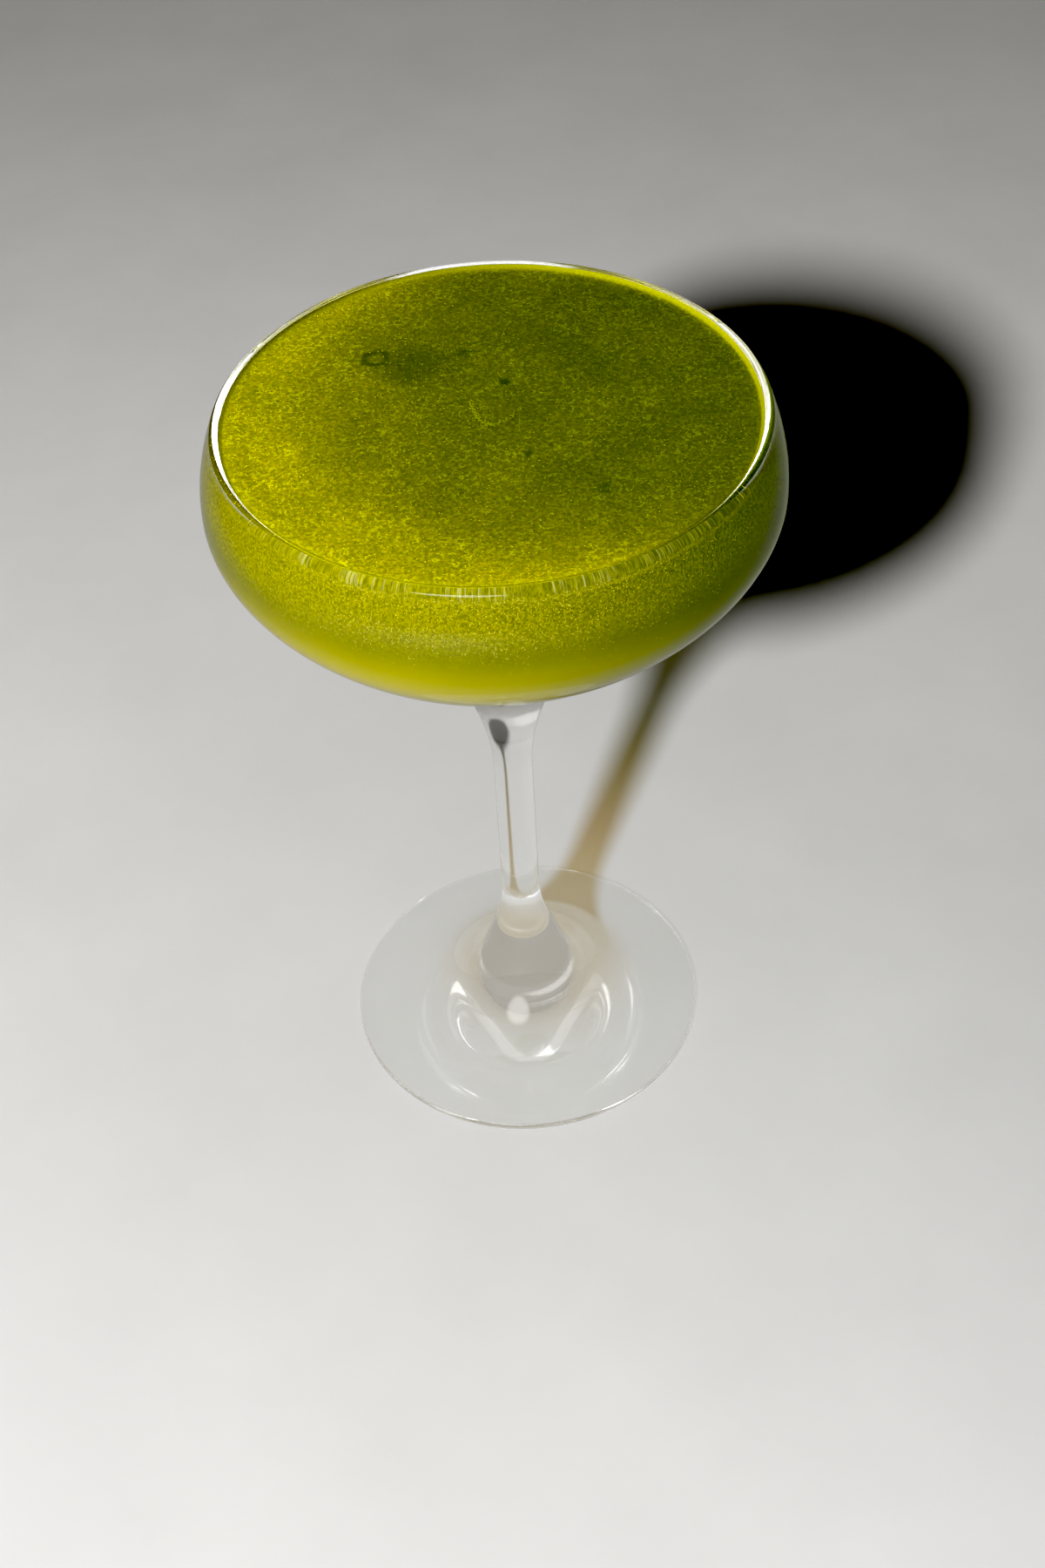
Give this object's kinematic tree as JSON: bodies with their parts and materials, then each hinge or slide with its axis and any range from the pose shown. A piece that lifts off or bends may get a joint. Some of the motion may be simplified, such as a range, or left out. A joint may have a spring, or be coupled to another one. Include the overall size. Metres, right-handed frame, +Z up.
{
  "type": "cocktail in a coupe glass",
  "caption": "Coupe glass with a rounded lip, a wide bulging bowl, a slender flared stem and a round flat foot, filled to the brim with a cloudy green drink.",
  "frame": {"origin": "middle of the foot's underside, on the table", "axes": "+Z up along the stem, from the foot to the rim"},
  "size_m": [0.1006, 0.1006, 0.1525],
  "materials": {
    "clear_glass": "clear, smooth and glossy",
    "green_drink": "wet, cloudy, with fine foam specks on the surface"
  },
  "bodies": {
    "root": {"coupe_glass": "clear_glass", "green_cocktail": "green_drink"}
  },
  "joints": []
}
